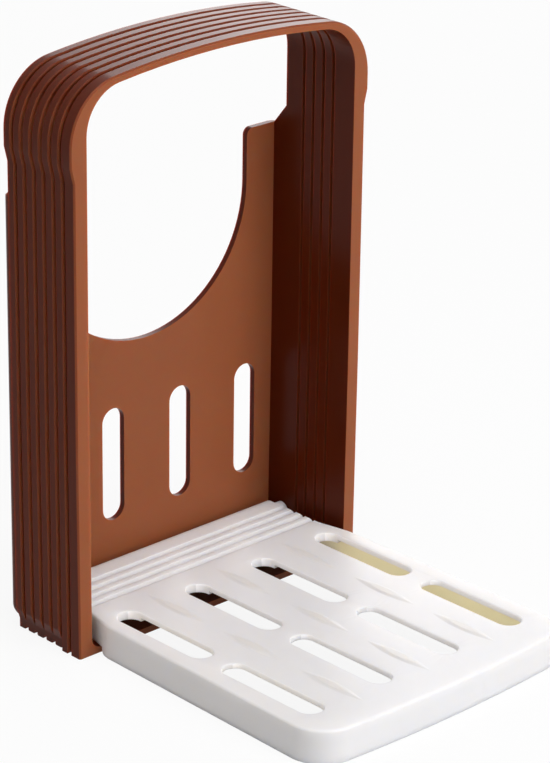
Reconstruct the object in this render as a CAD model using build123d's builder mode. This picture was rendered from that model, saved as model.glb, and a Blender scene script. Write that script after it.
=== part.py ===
from build123d import *
import math
import os

# Bread slicer guide: a slotted frame that stands on the table and a tray
# that swings up into it. Millimetres. X runs across the bread, +Y to the
# back plate, +Z up. The origin is on the table, on the centre line, in the
# plane of the frame's front face.

# ---- frame: hoop that the bread is pushed through -------------------------
inner_half_width = 66.5     # centre line to a wall's inner face
wall_thickness = 6.0        # side wall, inner face to outer face
wall_depth = 37.0           # front face to the back edge of the hoops
crown_height = 226.4        # table to the top of the arch
arch_thickness = 2.8        # arch at its crown
crown_radius = 420.0        # gentle bow of the arch, outer face
outer_corner_radius = 24.0  # arch to side wall, outside
inner_corner_radius = 17.6  # arch to side wall, inside
bead_height = 1.5           # shoulder bead stands proud of the wall
bead_drop = 33.4            # bead is full height from here up, measured down from the crown
bead_taper = 6.0            # length of the bead's hollow run-out below that
draft_height = 80.0         # walls draw in below this height
draft_inset = 0.5           # how far they have drawn in at the table
front_edge_bevel = 0.6      # outer front edge

# ---- frame: knife slots and grooves ---------------------------------------
groove_pitch = 5.3          # from one slot to the next
first_slot = 11.5           # front face to the first knife slot
slot_count = 4              # slots that the blade passes through
slot_width = 1.5            # gap for the blade
slot_bottom = 9.4           # table to the end of a slot
groove_depth = 1.3          # depth of a groove that is not a slot
fin_bevel = 0.4             # outer edges of the fins between the grooves

# ---- frame: foot of the side walls -----------------------------------------
foot_top = 8.3              # undercut below the slots starts here
foot_knee = 3.6             # and is straight down from here
foot_inset = 1.5            # how far it cuts in
floor_thickness = 2.5       # plate that joins the walls at the table
floor_fillet = 4.0          # wall to floor plate, inside

# ---- frame: back plate ------------------------------------------------------
plate_front = 43.6          # front face of the hoops to the plate
plate_thickness = 2.5
skin_thickness = 2.0        # thin wall from the hoops back to the plate
skin_radius = 4.0           # its outer vertical corner
heel_radius = 6.0           # plate to floor, outside
plate_top = 171.0           # shoulders beside the window
shoulder_rise = 8.0         # slope from the shoulder up to the hoops
window_radius = 52.0        # round-bottomed window in the plate
window_bottom = 98.2        # table to the lowest point of the window
window_corner = 3.0         # shoulder rounded into the window
vent_width = 11.0           # slot in the plate
vent_length = 47.0
vent_bottom = 26.0
column_pitch = 34.6         # slots in plate and tray stand in these columns
column_count = 4

# ---- tray --------------------------------------------------------------------
tray_top = 13.5             # table to the bread surface
tray_skin = 2.2             # thickness of the top
skirt_thickness = 2.0
tray_reach = 124.0          # front face of the frame to the tray's front edge
side_gap = 0.6              # tray's widest point to the wall, each side
tray_flare = 2.4            # tray is this much narrower, each side, at the frame
front_corner_radius = 15.0
front_bow = 3.2             # front edge bows out by this much
skirt_gap = 1.6             # skirt stops this far in front of the frame
skirt_corner = 2.0          # rounded rear corner of the skirt
top_edge_bevel = 1.0
strip_gap = 5.9             # wall to the strip of the tray that lies between the walls
strip_skin = 3.6            # thickness of the strip, which carries the blade grooves
shoulder_back = 8.0         # where the strip has reached that width
shoulder_front = -6.0       # where the tray starts to narrow
floor_gap = 0.5             # strip to the floor plate
blade_groove_mouth = 3.0    # groove in the strip below each slot, at the top
blade_groove_bed = 1.6      # and at its flat bottom
blade_groove_depth = 1.8
tray_slot_width = 10.0
tray_slot_length = 48.6
slot_edge_bevel = 0.5
first_row = -0.6            # rear end of the first row of tray slots
row_gap = 9.2               # between the two rows
row_count = 2
rib_length = 34.0           # raised lens-shaped rib under the bread
rib_height = 0.5
rib_width = 5.6
rib_roundness = 0.8         # 1 would bring the mound to a point
rib_pitch = 41.6
first_rib = -12.0           # centre of the rear row of ribs
rib_rows = 3

# ---- hinge --------------------------------------------------------------------
hinge_back = 35.0           # front face to the hinge axis
trunnion_radius = 2.4
trunnion_clearance = 0.05   # radial running fit in the wall
trunnion_depth = 3.0        # how far it reaches into the wall
trunnion_end_gap = 0.3
trunnion_tip_bevel = 0.6
boss_radius = 3.4
boss_gap = 0.5              # boss to the wall

# ---- worked out from the sizes above --------------------------------------------
outer_half_width = inner_half_width + wall_thickness
bead_half_width = outer_half_width + bead_height
bead_bottom = crown_height - bead_drop
slot_places = [first_slot + i * groove_pitch for i in range(slot_count)]
groove_places = [first_slot + i * groove_pitch for i in range(-1, slot_count + 1)]
columns = [(i - (column_count - 1) / 2) * column_pitch for i in range(column_count)]
plate_back = plate_front + plate_thickness
hinge_height = (tray_top + floor_thickness + floor_gap) / 2
barrel_radius = tray_top - hinge_height
tray_half_width = inner_half_width - side_gap
strip_half_width = inner_half_width - strip_gap
overshoot = 5.0             # cutting tools run past the faces by this much
tolerance = 0.01            # for picking edges and faces by their place


def bow_drop(radius, half_width):
    """How far a bowed edge has dropped at a distance from its middle."""
    return radius - math.sqrt(radius**2 - half_width**2)


def hoop_profile(half_width, side_width, crown, bow, corner):
    """Outline of the hoop in the XZ plane, from the table to the crown."""
    shoulder = crown - bow_drop(bow, half_width)
    side = [(half_width, shoulder)]
    if side_width < half_width:
        side += [(half_width, bead_bottom), (side_width, bead_bottom - bead_taper)]
    side += [(side_width, draft_height), (side_width - draft_inset, 0)]
    other_side = [(-x, z) for x, z in reversed(side)]
    with BuildSketch() as profile:
        with BuildLine():
            ThreePointArc(other_side[-1], (0, crown), side[0])
            Polyline(side + other_side)
        make_face()
        fillet(profile.vertices().group_by(Axis.Y)[-1], corner)
    return profile.sketch


def at_depth(y):
    """Plane of a hoop section: X across, Z up, pushed back from the front face."""
    return Plane((0, y, 0), x_dir=(1, 0, 0), z_dir=(0, -1, 0))


# Outline of the hoop's outside and of the opening inside it.
hoop_outline = hoop_profile(
    bead_half_width, outer_half_width, crown_height, crown_radius, outer_corner_radius)
opening_outline = hoop_profile(
    inner_half_width, inner_half_width, crown_height - arch_thickness,
    crown_radius - arch_thickness, inner_corner_radius)


# ---- frame ------------------------------------------------------------------------
# One moulding: hoops at the front, a thin-walled pan with the back plate behind.
with BuildPart() as frame:
    # Hoop block and the pan that reaches back from it.
    with BuildSketch(at_depth(0)):
        add(hoop_outline)
    extrude(amount=-wall_depth)
    front_face = frame.faces().sort_by(Axis.Y)[0]
    rim = front_face.outer_wire().edges().sort_by(Axis.Z)[1:]
    chamfer(rim, front_edge_bevel)

    # Six grooves run round the outside and leave bevelled fins between them.
    for y in groove_places:
        with BuildSketch(at_depth(y - slot_width / 2)):
            add(hoop_outline)
            offset(hoop_outline, amount=-groove_depth, mode=Mode.SUBTRACT)
        extrude(amount=-slot_width, mode=Mode.SUBTRACT)
    groove_sides = [y + side * slot_width / 2 for y in groove_places for side in (-1, 1)]
    groove_rims = [
        face.outer_wire().edges()
        for face in frame.faces().filter_by(Axis.Y)
        if min(abs(face.center().Y - y) for y in groove_sides) < tolerance
    ]
    chamfer(ShapeList(edge for rim in groove_rims for edge in rim), fin_bevel)

    pan_half_width = inner_half_width + skin_thickness
    with BuildSketch(Plane.XY) as pan:
        with Locations((0, plate_back)):
            Rectangle(2 * pan_half_width, plate_back - wall_depth + skin_thickness,
                      align=(Align.CENTER, Align.MAX))
        fillet(pan.vertices().group_by(Axis.Y)[-1], skin_radius)
    extrude(amount=plate_top + shoulder_rise)
    heel = frame.edges().filter_by(Axis.X).group_by(Axis.Z)[0].sort_by(Axis.Y)[-1]
    fillet(heel, heel_radius)

    # Room for the bread: the opening runs from the front to the back plate.
    with BuildSketch(at_depth(-overshoot)) as room:
        add(opening_outline)
        with Locations((0, 0)):
            Rectangle(2 * bead_half_width, 2 * floor_thickness, mode=Mode.SUBTRACT)
        fillet(room.vertices().group_by(Axis.Y)[0], floor_fillet)
    extrude(amount=-(overshoot + plate_front), mode=Mode.SUBTRACT)
    with BuildSketch(at_depth(-overshoot)):
        add(opening_outline)
        with Locations((0, plate_top / 2)):
            Rectangle(2 * bead_half_width, plate_top, mode=Mode.SUBTRACT)
    extrude(amount=-(overshoot + plate_back + overshoot), mode=Mode.SUBTRACT)

    # Thin side skins slope up from the plate's shoulders to the hoops.
    with BuildSketch(Plane.YZ):
        with BuildLine():
            Polyline(
                (wall_depth, plate_top + shoulder_rise),
                (plate_front, plate_top),
                (plate_back + overshoot, plate_top),
                (plate_back + overshoot, plate_top + shoulder_rise + overshoot),
                (wall_depth, plate_top + shoulder_rise + overshoot),
                close=True,
            )
        make_face()
    extrude(amount=bead_half_width, both=True, mode=Mode.SUBTRACT)

    # Round-bottomed window and the slots below it in the back plate.
    window_centre = window_bottom + window_radius
    with BuildSketch(at_depth(plate_front - overshoot)):
        with Locations((0, window_centre)):
            Circle(window_radius)
            Rectangle(2 * window_radius, plate_top, align=(Align.CENTER, Align.MIN))
        with Locations([(x, vent_bottom + vent_length / 2) for x in columns]):
            SlotOverall(vent_length, vent_width, rotation=90)
    extrude(amount=-(plate_thickness + 2 * overshoot), mode=Mode.SUBTRACT)
    window_corners = (
        frame.edges().filter_by(Axis.Y)
        .filter_by(lambda e: abs(e.length - plate_thickness) < tolerance)
        .filter_by(lambda e: abs(abs(e.center().X) - window_radius) < tolerance)
        .filter_by(lambda e: abs(e.center().Z - plate_top) < tolerance)
    )
    fillet(window_corners, window_corner)

    # Undercut foot below the knife slots.
    with BuildSketch(at_depth(first_slot)) as foot:
        with BuildLine():
            face_x = outer_half_width - draft_inset * (1 - foot_top / draft_height)
            Polyline(
                (face_x, foot_top),
                (face_x - foot_inset, foot_knee),
                (face_x - foot_inset, -overshoot),
                (bead_half_width + overshoot, -overshoot),
                (bead_half_width + overshoot, foot_top),
                close=True,
            )
        make_face()
        mirror(about=Plane.YZ)
    extrude(amount=-(wall_depth + overshoot - first_slot), mode=Mode.SUBTRACT)

    # The blade passes through four of the grooves, from wall to wall.
    with BuildSketch(Plane.YZ):
        with Locations([(y, slot_bottom) for y in slot_places]):
            Rectangle(slot_width, crown_height, align=(Align.CENTER, Align.MIN))
    extrude(amount=bead_half_width + overshoot, both=True, mode=Mode.SUBTRACT)

    # Blind sockets for the tray's trunnions.
    socket_radius = trunnion_radius + trunnion_clearance
    socket_end = inner_half_width + trunnion_depth
    for side in (-1, 1):
        with BuildSketch(Plane.YZ.offset(side * socket_end)):
            with Locations((hinge_back, hinge_height)):
                Circle(socket_radius)
        extrude(amount=-side * (trunnion_depth + overshoot), mode=Mode.SUBTRACT)


# ---- tray --------------------------------------------------------------------------
def tray_outline(inset):
    """Plan of the tray: bowed front, flared sides, narrow strip at the back."""
    wide = tray_half_width - inset
    near = tray_half_width - tray_flare - inset
    strip = strip_half_width - inset
    front = -tray_reach + inset
    rear = hinge_back + barrel_radius - inset
    with BuildSketch() as outline:
        with BuildLine():
            right = [(wide, front + front_bow), (near, shoulder_front),
                     (strip, shoulder_back), (strip, rear)]
            left = [(-x, y) for x, y in reversed(right)]
            Polyline(right + left)
            ThreePointArc(left[-1], (0, front), right[0])
        make_face()
        fillet(outline.vertices().group_by(Axis.Y)[0], front_corner_radius - inset)
    return outline.sketch


def tray_side():
    """Side view of the tray: round rear edge about the hinge, skirt in front."""
    strip_foot = hinge_height - barrel_radius
    front = -tray_reach - overshoot
    with BuildSketch() as side:
        with BuildLine():
            Polyline(
                (hinge_back, tray_top),
                (front, tray_top),
                (front, 0),
                (-skirt_gap, 0),
                (-skirt_gap, strip_foot),
                (hinge_back, strip_foot),
            )
            CenterArc((hinge_back, hinge_height), barrel_radius, -90, 180)
        make_face()
        fillet(side.vertices().sort_by_distance((-skirt_gap, 0))[0], skirt_corner)
    return side.sketch


def tray_hollow_side():
    """Side view of the hollow below the tray's skin, open to the table."""
    front = -tray_reach - overshoot
    radius = barrel_radius - strip_skin
    with BuildSketch() as side:
        with BuildLine():
            Polyline(
                (hinge_back, tray_top - strip_skin),
                (shoulder_front, tray_top - strip_skin),
                (shoulder_front, tray_top - tray_skin),
                (front, tray_top - tray_skin),
                (front, -overshoot),
                (hinge_back + radius, -overshoot),
                (hinge_back + radius, hinge_height),
            )
            CenterArc((hinge_back, hinge_height), radius, 0, 90)
        make_face()
    return side.sketch


with BuildPart() as tray_hollow:
    with BuildSketch(Plane.XY.offset(-overshoot)):
        add(tray_outline(skirt_thickness))
    extrude(amount=tray_top + overshoot)
    with BuildSketch(Plane.YZ):
        add(tray_hollow_side())
    extrude(amount=bead_half_width, both=True, mode=Mode.INTERSECT)

with BuildPart() as rib:
    # Low lens-shaped mound, stacked from inside the skin to its top.
    for rise in (-tray_skin / 2, 0, rib_height):
        share = math.sqrt(1 - (max(rise, 0) / rib_height) ** 2 * rib_roundness)
        with BuildSketch(Plane.XY.offset(tray_top + rise)):
            tip = rib_length / 2 * share
            bulge = rib_width / 2 * share
            with BuildLine():
                ThreePointArc((0, -tip), (bulge, 0), (0, tip))
                ThreePointArc((0, tip), (-bulge, 0), (0, -tip))
            make_face()
    loft(ruled=True)


# One moulding: bread surface, skirt and the strip with the two trunnions.
with BuildPart() as tray:
    # Shell with a bevelled top edge, open underneath.
    with BuildSketch(Plane.XY):
        add(tray_outline(0))
    extrude(amount=tray_top)
    with BuildSketch(Plane.YZ):
        add(tray_side())
    extrude(amount=bead_half_width, both=True, mode=Mode.INTERSECT)
    top_face = tray.faces().filter_by(Axis.Z).sort_by(Axis.Z)[-1]
    chamfer(top_face.outer_wire().edges().sort_by(Axis.Y)[:-1], top_edge_bevel)
    add(tray_hollow.part, mode=Mode.SUBTRACT)

    # Two rows of slots for the crumbs, with bevelled upper edges.
    row_pitch = tray_slot_length + row_gap
    rows = [first_row - tray_slot_length / 2 - i * row_pitch for i in range(row_count)]
    with BuildSketch(Plane.XY.offset(tray_top - tray_skin - overshoot)):
        with Locations([(x, y) for x in columns for y in rows]):
            SlotOverall(tray_slot_length, tray_slot_width, rotation=90)
    extrude(amount=tray_skin + 2 * overshoot, mode=Mode.SUBTRACT)
    bread_surface = tray.faces().filter_by(Axis.Z).sort_by(Axis.Z)[-1]
    chamfer(bread_surface.inner_wires().edges(), slot_edge_bevel)

    # Ribs between the slot columns, under the loaf.
    rib_columns = [(a + b) / 2 for a, b in zip(columns, columns[1:])]
    for x in rib_columns:
        for i in range(rib_rows):
            add(rib.part.moved(Location((x, first_rib - i * rib_pitch, 0))))

    # Grooves in the strip, where the blade ends its cut.
    with BuildSketch(Plane.YZ):
        with BuildLine():
            Polyline(
                (-blade_groove_mouth / 2, 0),
                (-blade_groove_bed / 2, -blade_groove_depth),
                (blade_groove_bed / 2, -blade_groove_depth),
                (blade_groove_mouth / 2, 0),
                (blade_groove_mouth / 2, overshoot),
                (-blade_groove_mouth / 2, overshoot),
                close=True,
            )
        blade_groove = make_face(mode=Mode.PRIVATE)
        with Locations([(y, tray_top) for y in slot_places]):
            add(blade_groove)
    extrude(amount=tray_half_width, both=True, mode=Mode.SUBTRACT)

    # Bosses and trunnions on the hinge axis.
    wall_at_hinge = inner_half_width - draft_inset * (1 - hinge_height / draft_height)
    inside_strip = strip_half_width - skirt_thickness
    for side in (-1, 1):
        for radius, end in (
            (boss_radius, wall_at_hinge - boss_gap),
            (trunnion_radius, socket_end - trunnion_end_gap),
        ):
            with BuildSketch(Plane.YZ.offset(side * inside_strip)):
                with Locations((hinge_back, hinge_height)):
                    Circle(radius)
            extrude(amount=side * (end - inside_strip))
    tips = tray.faces().filter_by(Axis.X).sort_by(Axis.X)
    chamfer(tips[0].edges() + tips[-1].edges(), trunnion_tip_bevel)

os.makedirs("parts", exist_ok=True)
for piece, name in ((frame, "frame"), (tray, "tray")):
    piece.part.label = name
    export_step(piece.part, f"parts/{name}.step")
    size = piece.part.bounding_box().size
    print(f"{name}: {size.X:.1f} x {size.Y:.1f} x {size.Z:.1f} mm, {piece.part.volume / 1000:.1f} ml")
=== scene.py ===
# %% [markdown]
# # Bread slicer guide
# The real object is two plastic mouldings: a brown slotted frame that stands on the
# table, and a white tray that hangs between its walls on two moulded pins and folds
# up into it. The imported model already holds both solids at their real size, so this
# lesson adds what the eye sees: the camera, the light, and the two plastics.

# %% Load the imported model
import math

import bpy
from mathutils import Matrix, Vector


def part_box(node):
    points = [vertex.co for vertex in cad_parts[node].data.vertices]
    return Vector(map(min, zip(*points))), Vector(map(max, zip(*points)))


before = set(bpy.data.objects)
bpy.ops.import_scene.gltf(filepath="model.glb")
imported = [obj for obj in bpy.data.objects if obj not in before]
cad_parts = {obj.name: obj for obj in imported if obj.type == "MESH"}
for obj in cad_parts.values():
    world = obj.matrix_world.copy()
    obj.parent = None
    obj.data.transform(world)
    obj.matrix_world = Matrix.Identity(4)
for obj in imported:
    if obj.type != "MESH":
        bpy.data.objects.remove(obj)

scene = bpy.context.scene
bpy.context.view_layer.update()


print("nodes:", sorted(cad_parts))

# %% [markdown]
# ## Camera
# The photograph is 550 by 763 pixels. The camera's place was worked out from the
# straight edges of the walls and the corners of the tray, and it is written here as
# a photographer would say it: where the camera stands round the object, how far off,
# and how long the lens is. The lens is given as a length in pixels, because that is
# what a fit to a photograph measures. A long lens from far off keeps the walls nearly
# parallel, as they are in the photograph. Blender measures the lens and its shift
# against the long side of the picture.

# %% Camera at the photograph's angle
IMAGE_SIZE = (550, 763)
CAMERA_AZIMUTH = math.radians(-43.85)
CAMERA_ELEVATION = math.radians(22.24)
CAMERA_ROLL = math.radians(0.80)
CAMERA_DISTANCE = 1.234
CAMERA_TARGET = Vector((0.0248, 0.0, 0.0864))
LENS_IN_PIXELS = 3226
OPTICAL_CENTRE_OFFSET = (-4.0, -0.8)
NEAREST_SEEN, FARTHEST_SEEN = 0.05, 20


def camera_axes():
    """The camera's own right and up, and the direction from its target to it."""
    away = Vector((
        math.sin(CAMERA_AZIMUTH) * math.cos(CAMERA_ELEVATION),
        -math.cos(CAMERA_AZIMUTH) * math.cos(CAMERA_ELEVATION),
        math.sin(CAMERA_ELEVATION),
    ))
    level = Vector((0, 0, 1)).cross(away).normalized()
    upright = away.cross(level)
    right = level * math.cos(CAMERA_ROLL) + upright * math.sin(CAMERA_ROLL)
    up = upright * math.cos(CAMERA_ROLL) - level * math.sin(CAMERA_ROLL)
    return right, up, away


def make_camera():
    """A camera that looks at the target, tilted by the roll, with the fitted lens."""
    right, up, away = camera_axes()
    lens = bpy.data.cameras.new("camera")
    camera = bpy.data.objects.new("camera", lens)
    scene.collection.objects.link(camera)
    turn = Matrix((right, up, away)).transposed().to_4x4()
    camera.matrix_world = Matrix.Translation(CAMERA_TARGET + away * CAMERA_DISTANCE) @ turn
    long_side = max(IMAGE_SIZE)
    lens.lens = LENS_IN_PIXELS / long_side * lens.sensor_width
    lens.shift_x = -OPTICAL_CENTRE_OFFSET[0] / long_side
    lens.shift_y = OPTICAL_CENTRE_OFFSET[1] / long_side
    lens.clip_start = NEAREST_SEEN
    lens.clip_end = FARTHEST_SEEN
    scene.camera = camera
    return camera


camera = make_camera()
print("lens in mm:", round(camera.data.lens, 1))

# %% [markdown]
# ## Helpers for shader nodes
# The backdrop, the floor and both plastics are small networks of shader nodes. They
# could be wired by hand in the editor, but a network that is written down can be read
# and changed. These helpers keep it readable: one adds a node, fills in its sockets,
# and links those that are given another node's output, and the others wrap the few
# kinds of node that come back again and again.


# %% Helpers for shader nodes
def add_node(tree, kind, *, settings=None, **sockets):
    """Adds a node. settings are its properties. sockets are its inputs, by name with _
    for a space, or by number as _0."""
    node = tree.nodes.new(kind)
    for name, value in (settings or {}).items():
        setattr(node, name, value)
    for name, value in sockets.items():
        number = name.removeprefix("_")
        socket = node.inputs[int(number) if number.isdigit() else name.replace("_", " ")]
        if isinstance(value, bpy.types.NodeSocket):
            tree.links.new(value, socket)
        else:
            socket.default_value = value
    return node


def math_node(tree, operation, *values):
    """Result of one step of arithmetic in a shader."""
    sockets = {f"_{i}": value for i, value in enumerate(values)}
    settings = {"operation": operation}
    return add_node(tree, "ShaderNodeMath", settings=settings, **sockets).outputs[0]


def mix_shaders(tree, share, first, second):
    """The first node's shader where share is 0, the second's where it is 1."""
    mix = add_node(tree, "ShaderNodeMixShader",
                   _0=share, _1=first.outputs[0], _2=second.outputs[0])
    return mix.outputs[0]


def empty_material(name):
    """A new material and its network, with no nodes in it yet."""
    material = bpy.data.materials.new(name)
    material.use_nodes = True
    material.node_tree.nodes.clear()
    return material, material.node_tree


print("helpers:", [f.__name__ for f in (add_node, math_node, mix_shaders, empty_material)])

# %% [markdown]
# ## Backdrop and room light
# The photograph has plain white behind the object, and white is also what the glossy
# plastic mirrors. Lamps alone would leave the sides that face away from them black. So
# the world has two jobs. Rays that come from the camera, and those that are mirrored or
# pass through, see pure white. All the others, which carry light to the surfaces, meet
# a weaker grey, as the walls of a room would give. A light path node tells them apart.

# %% World
WHITE = (1, 1, 1, 1)
BACKGROUND_WHITE = 1.0
ROOM_LIGHT = 0.3


def sees_white(tree):
    """1 for camera, mirrored and refracted rays, 0 for those that only carry light."""
    path = add_node(tree, "ShaderNodeLightPath").outputs
    mirrored = math_node(tree, "MAXIMUM", path["Is Glossy Ray"], path["Is Transmission Ray"])
    return math_node(tree, "MAXIMUM", path["Is Camera Ray"], mirrored)


def make_world():
    """White where the camera looks past the object, soft grey light for the rest."""
    world = bpy.data.worlds.new("studio")
    scene.world = world
    world.use_nodes = True
    tree = world.node_tree
    tree.nodes.clear()
    room = add_node(tree, "ShaderNodeBackground", Color=WHITE, Strength=ROOM_LIGHT)
    white = add_node(tree, "ShaderNodeBackground", Color=WHITE, Strength=BACKGROUND_WHITE)
    add_node(tree, "ShaderNodeOutputWorld",
             Surface=mix_shaders(tree, sees_white(tree), room, white))


make_world()
print("room light:", ROOM_LIGHT)

# %% [markdown]
# ## Floor
# The object stands on a white table. A sheet of matt white would look grey, and end in
# a line against the backdrop. So most of what the camera sees of it is pure white too,
# and only a small share is its own shading, which keeps a soft shadow under the object.
# Light that bounces off the floor onto the object still comes from the matt paint.

# %% Floor
FLOOR_SIZE = 8.0
FLOOR_DROP = 0.0002
FLOOR_PAINT = (0.8, 0.8, 0.8, 1)
FLOOR_SHADE_KEPT = 0.1


def white_table():
    """Matt white paint, of which the camera sees only a small share."""
    paint, tree = empty_material("white_table")
    matt = add_node(tree, "ShaderNodeBsdfDiffuse", Color=FLOOR_PAINT)
    white = add_node(tree, "ShaderNodeEmission", Color=WHITE, Strength=BACKGROUND_WHITE)
    share = math_node(tree, "MULTIPLY", sees_white(tree), 1 - FLOOR_SHADE_KEPT)
    add_node(tree, "ShaderNodeOutputMaterial", Surface=mix_shaders(tree, share, matt, white))
    return paint


bpy.ops.mesh.primitive_plane_add(size=FLOOR_SIZE, location=(0, 0, -FLOOR_DROP))
floor = bpy.context.object
floor.name = "floor"
floor.data.materials.append(white_table())
print("floor in m:", [round(side, 2) for side in floor.dimensions[:2]])

# %% [markdown]
# ## Lamps
# Large square lamps give soft light, as the windows or screens of a studio do. The main
# one stands in front of the tray, a little to the right, so the faces that look along
# the tray are the brightest, with painted light on the brown added. A weaker one hangs
# above, and a third stands behind on the right and gives the crown of the arch a pale
# sheen. No lamp stands on the left, so the outer wall there gets little more than the
# light of the room, and with the brown's painted shade it stays deep brown.

# %% Lamps
LAMP_TARGET = Vector((0, 0, 0.1))
LAMPS = {
    "key": {"place": (0.3, -1.6, 0.9), "size": 1.0, "watts": 20},
    "top": {"place": (-0.15, -0.4, 1.8), "size": 1.2, "watts": 15},
    "back_right": {"place": (1.2, 1.1, 0.7), "size": 0.8, "watts": 6},
}


def make_lamp(name, place, size, watts):
    """A square soft lamp that faces the middle of the object."""
    light = bpy.data.lights.new(name, "AREA")
    light.size = size
    light.energy = watts
    lamp = bpy.data.objects.new(name, light)
    scene.collection.objects.link(lamp)
    lamp.location = place
    lamp.rotation_euler = (LAMP_TARGET - Vector(place)).to_track_quat("-Z", "Y").to_euler()


for name, values in LAMPS.items():
    make_lamp(name, **values)
    print("lamp:", name, values["watts"], "W")

# %% [markdown]
# ## Smooth skins
# The solids arrive as triangles that share no corners, so every facet of a rounded
# edge would show. A small node modifier joins the corners, shades the surface smooth
# and keeps the true edges sharp. A weighted normal modifier then lets the large flat
# faces decide their own shading. The mesh itself stays as it came. The frame keeps its
# 45 degree bevels crisp, so each fin catches a thin line of light. On the tray the same
# bevels are shaded round, because its top edge is soft.

# %% Smooth shading as a modifier
WELD_DISTANCE = 0.00001
SHARP_ANGLES = {"frame": math.radians(32), "tray": math.radians(50)}


def smoothing_group(name, sharp_angle):
    """Node group: merge by distance, shade smooth, keep edges sharper than the limit."""
    group = bpy.data.node_groups.new(f"smooth_{name}", "GeometryNodeTree")
    for direction in ("INPUT", "OUTPUT"):
        group.interface.new_socket("Geometry", in_out=direction,
                                   socket_type="NodeSocketGeometry")
    source = add_node(group, "NodeGroupInput")
    merged = add_node(group, "GeometryNodeMergeByDistance",
                      Geometry=source.outputs[0], Distance=WELD_DISTANCE)
    faces = add_node(group, "GeometryNodeSetShadeSmooth", settings={"domain": "FACE"},
                     Geometry=merged.outputs[0], Shade_Smooth=True)
    angle = add_node(group, "GeometryNodeInputMeshEdgeAngle")
    gentle = add_node(group, "FunctionNodeCompare",
                      settings={"data_type": "FLOAT", "operation": "LESS_THAN"},
                      _0=angle.outputs["Unsigned Angle"], _1=sharp_angle)
    edges = add_node(group, "GeometryNodeSetShadeSmooth", settings={"domain": "EDGE"},
                     Geometry=faces.outputs[0], Shade_Smooth=gentle.outputs[0])
    add_node(group, "NodeGroupOutput", Geometry=edges.outputs[0])
    return group


def shade_smooth(piece, group):
    """Gives a piece the smoothing modifier and weighted normals."""
    piece.modifiers.new("smooth_skin", "NODES").node_group = group
    piece.modifiers.new("flat_faces_first", "WEIGHTED_NORMAL").keep_sharp = True


for name, sharp_angle in SHARP_ANGLES.items():
    shade_smooth(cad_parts[name], smoothing_group(name, sharp_angle))
    print(name, "keeps edges over", round(math.degrees(sharp_angle)), "degrees sharp")

# %% [markdown]
# ## What both plastics need
# Real transparency, with light that is swallowed on its way, would be the physical
# way to make both plastics. It takes many bounces, stays grainy, and can't be baked for
# the exported model. Here a surface shader with some scattering under the skin does the
# job, and its colour follows the place: which point of the piece it is, and which way
# the face looks there. No moulding has quite the same colour and gloss all over, so a
# soft noise varies both a little.

# %% Shared steps of a plastic
PLASTIC_IOR = 1.5
CLOUD_DETAIL = 2


def read_surface(tree):
    """A point's place on the piece, the same by axis, and the way its face looks."""
    point = add_node(tree, "ShaderNodeTexCoord").outputs
    at = add_node(tree, "ShaderNodeSeparateXYZ", Vector=point["Object"]).outputs
    facing = add_node(tree, "ShaderNodeSeparateXYZ", Vector=point["Normal"]).outputs
    return point["Object"], at, facing


def map_range(tree, value, old, new=(0, 1)):
    """Carries a value from the old range to the new one, and stops at its ends."""
    ends = {"From_Min": old[0], "From_Max": old[1], "To_Min": new[0], "To_Max": new[1]}
    return add_node(tree, "ShaderNodeMapRange", Value=value, **ends).outputs[0]


def mix_colours(tree, share, first, second, blend="MIX"):
    """The first colour where share is 0, and the second blended over it where it is 1."""
    settings = {"data_type": "RGBA", "blend_type": blend}
    mix = add_node(tree, "ShaderNodeMix", settings=settings,
                   Factor=share, _6=first, _7=second)
    return mix.outputs[2]


def mottled(tree, place, colour, clouds_per_metre, shades):
    """Colour that varies a little from place to place, and the noise it follows."""
    cloud = add_node(tree, "ShaderNodeTexNoise", Vector=place,
                     Scale=clouds_per_metre, Detail=CLOUD_DETAIL).outputs[0]
    shade = map_range(tree, cloud, (0, 1), shades)
    return mix_colours(tree, 1.0, colour, shade, "MULTIPLY"), cloud


print("refractive index of both plastics:", PLASTIC_IOR)

# %% [markdown]
# ## Brown plastic
# The frame is injection moulded in a deep brown plastic that lets a little light
# through. Its colour holds painted light and shade. Faces that look aside, as the
# outer left wall does, get a painted shade of dark red brown. The faces that look along
# the tray, forward or back, get painted light and look orange: the front edge, the back
# plate, and the sides of the fins where they meet the outer air. Deep inside the slots
# that painted light fades to painted shade. So the colour follows the way that a face
# looks and how near it lies to the outside, measured in from the sides of the frame's
# box. Light that scatters inside comes out red, because red travels furthest.

# %% Where light and shade are painted on the brown plastic
# Faces that look along the tray get painted light; faces that look aside, and the fins deep
# in the slots, get painted shade.
LOOKS_ALONG = (0.4, 0.95)
FRONT_EDGE_DEPTH = 0.001
PLATE_DEPTH = 0.0061
FIN_PAINTED_SHADE_DEPTH, FIN_LIT_DEPTH = 0.0070, 0.0025
LIT_IN_SLOT = 0.3


def painted_light_share(tree, at, facing):
    """Painted light share: 1 on front edge, plate and fins' rims, 0 (painted shade) aside.
    """
    low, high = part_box("frame")
    along = math_node(tree, "ABSOLUTE", facing["Y"])
    looks = map_range(tree, along, LOOKS_ALONG)
    aside = math_node(tree, "ABSOLUTE", at["X"])
    rim = map_range(tree, aside, (high[0] - FIN_PAINTED_SHADE_DEPTH, high[0] - FIN_LIT_DEPTH),
                    (LIT_IN_SLOT, 1))
    front = math_node(tree, "LESS_THAN", at["Y"], low[1] + FRONT_EDGE_DEPTH)
    plate = math_node(tree, "GREATER_THAN", at["Y"], high[1] - PLATE_DEPTH)
    ends = math_node(tree, "MAXIMUM", front, plate)
    return math_node(tree, "MULTIPLY", looks, math_node(tree, "MAXIMUM", rim, ends))


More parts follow.
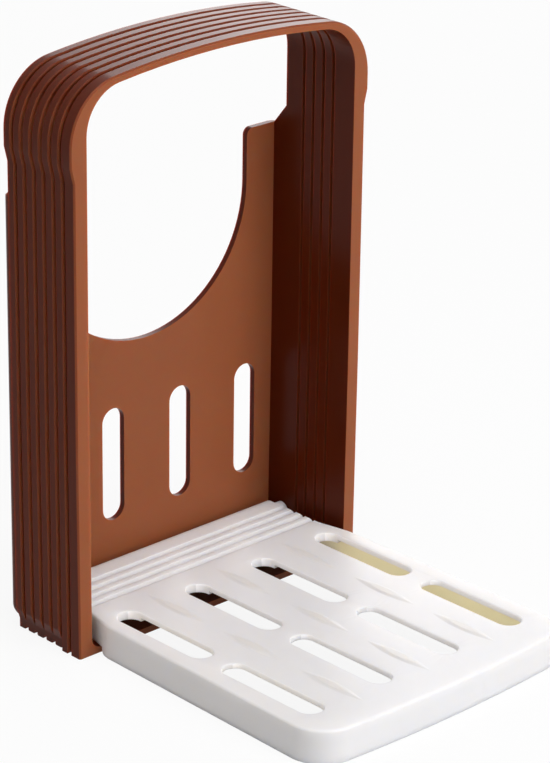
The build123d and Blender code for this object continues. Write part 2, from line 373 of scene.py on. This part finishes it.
# %% Brown plastic
# The first brown is painted shade, the second painted light, of one plastic.
BROWN_PAINTED_SHADE = (0.10, 0.014, 0.003, 1)
BROWN_LIT = (0.29, 0.092, 0.038, 1)
BROWN_CLOUDS_PER_METRE = 30
BROWN_CLOUD_SHADES = (0.94, 1.06)
BROWN_ROUGHNESS = (0.26, 0.34)
BROWN_MIRRORING = 0.08
BROWN_SCATTER_SHARE = 0.7
BROWN_SCATTER_DEPTH = 0.005
BROWN_SCATTER_COLOUR = (1.0, 0.25, 0.08)


def brown_plastic():
    """Glossy brown plastic, painted orange light along the tray, painted shade aside."""
    plastic, tree = empty_material("brown_plastic")
    place, at, facing = read_surface(tree)
    # Painted shade and painted light, mixed by the way a face looks and how deep it lies.
    tint = mix_colours(tree, painted_light_share(tree, at, facing), BROWN_PAINTED_SHADE, BROWN_LIT)
    colour, cloud = mottled(tree, place, tint, BROWN_CLOUDS_PER_METRE, BROWN_CLOUD_SHADES)
    shader = add_node(tree, "ShaderNodeBsdfPrincipled", Base_Color=colour,
                      Roughness=map_range(tree, cloud, (0, 1), BROWN_ROUGHNESS),
                      IOR=PLASTIC_IOR, Specular_IOR_Level=BROWN_MIRRORING,
                      Subsurface_Weight=BROWN_SCATTER_SHARE,
                      Subsurface_Scale=BROWN_SCATTER_DEPTH,
                      Subsurface_Radius=BROWN_SCATTER_COLOUR)
    add_node(tree, "ShaderNodeOutputMaterial", Surface=shader.outputs[0])
    return plastic


brown = brown_plastic()
print(brown.name, "has", len(brown.node_tree.nodes), "nodes")

# %% [markdown]
# ## White plastic
# The tray is a milky white and nearly matt. Light passes through it, so the walls of
# its slots stay bright, and inside the skirt it comes out cream coloured; both are
# painted light here, a cream tint and a weak glow. The ribs, a little thicker than the
# skin round them, get a painted shade that makes them a little greyer. A few masks find
# these places: how high a point lies, how far to the side or to the front, all measured
# in from the sides of the tray's box, and which way its face looks. The weak glow is
# painted light that stands in for the light that comes through.

# %% Where the tray gets painted cream light and a painted glow
SIDE_TO_SLOTS = 0.0117
FRONT_TO_SLOTS = 0.014
TOP_TO_UNDERSIDE = 0.0028
LOOKS_INWARD = -0.01
LOOKS_ASIDE = 0.5


def tray_masks(tree, at, facing):
    """The inside of the skirt, and all that gets a painted glow: that and the slots."""
    low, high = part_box("tray")
    aside = math_node(tree, "ABSOLUTE", at["X"])
    beside = math_node(tree, "GREATER_THAN", aside, high[0] - SIDE_TO_SLOTS)
    outward = math_node(tree, "MULTIPLY", at["X"], facing["X"])
    inward = math_node(tree, "LESS_THAN", outward, LOOKS_INWARD)
    under = math_node(tree, "LESS_THAN", at["Z"], high[2] - TOP_TO_UNDERSIDE)
    hollow = math_node(tree, "MULTIPLY", math_node(tree, "MULTIPLY", inward, under), beside)
    upright = math_node(tree, "ABSOLUTE", facing["X"])
    slot_wall = math_node(tree, "GREATER_THAN", upright, LOOKS_ASIDE)
    behind = math_node(tree, "GREATER_THAN", at["Y"], low[1] + FRONT_TO_SLOTS)
    among = math_node(tree, "MULTIPLY", math_node(tree, "SUBTRACT", 1.0, beside), behind)
    slots = math_node(tree, "MULTIPLY", among, slot_wall)
    return hollow, math_node(tree, "MAXIMUM", hollow, slots)


# %% White plastic
TRAY_WHITE = (0.81, 0.785, 0.785, 1)
# The cream is painted light in the hollow; the glow is painted light there and on the slot
# walls.
TRAY_PAINTED_CREAM_LIGHT = (0.92, 0.80, 0.55, 1)
# The rib colour is painted shade on the ribs.
TRAY_RIB_PAINTED_SHADE = (0.73, 0.70, 0.68, 1)
RIB_HEIGHT = 0.0005
TRAY_GLOW = 0.2
TRAY_CLOUDS_PER_METRE = 60
TRAY_CLOUD_SHADES = (0.98, 1.02)
TRAY_ROUGHNESS = (0.38, 0.46)
TRAY_MIRRORING = 0.3
TRAY_SCATTER_SHARE = 0.9
TRAY_SCATTER_DEPTH = 0.006
TRAY_SCATTER_COLOUR = (1.0, 0.9, 0.75)


def white_plastic():
    """Satin white plastic, painted cream light in the tray's hollow, painted shade on the
    ribs.
    """
    plastic, tree = empty_material("white_plastic")
    place, at, facing = read_surface(tree)
    hollow, bright = tray_masks(tree, at, facing)
    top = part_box("tray")[1][2]
    # Painted shade on the ribs, greyer towards their tops.
    painted_rib_shade = map_range(tree, at["Z"], (top - RIB_HEIGHT, top))
    tint = mix_colours(tree, painted_rib_shade, TRAY_WHITE, TRAY_RIB_PAINTED_SHADE)
    tint = mix_colours(tree, hollow, tint, TRAY_PAINTED_CREAM_LIGHT)
    colour, cloud = mottled(tree, place, tint, TRAY_CLOUDS_PER_METRE, TRAY_CLOUD_SHADES)
    shader = add_node(tree, "ShaderNodeBsdfPrincipled", Base_Color=colour,
                      Roughness=map_range(tree, cloud, (0, 1), TRAY_ROUGHNESS),
                      IOR=PLASTIC_IOR, Specular_IOR_Level=TRAY_MIRRORING,
                      Subsurface_Weight=TRAY_SCATTER_SHARE,
                      Subsurface_Scale=TRAY_SCATTER_DEPTH,
                      Subsurface_Radius=TRAY_SCATTER_COLOUR,
                      # The glow is painted light in the hollow and on the slot walls.
                      Emission_Color=tint,
                      Emission_Strength=math_node(tree, "MULTIPLY", bright, TRAY_GLOW))
    add_node(tree, "ShaderNodeOutputMaterial", Surface=shader.outputs[0])
    return plastic


white = white_plastic()
print(white.name, "has", len(white.node_tree.nodes), "nodes")

# %% [markdown]
# ## Plastics onto the mouldings
# Each moulding is one colour of plastic throughout, so each node gets one material, in
# the slots that it already has.

# %% Give each node its plastic
for name, plastic in (("frame", brown), ("tray", white)):
    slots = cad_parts[name].material_slots
    for slot in slots:
        slot.material = plastic
    print(name, "has", plastic.name, "in", len(slots), "slot")

# %% View transform
scene.view_settings.view_transform = "Standard"
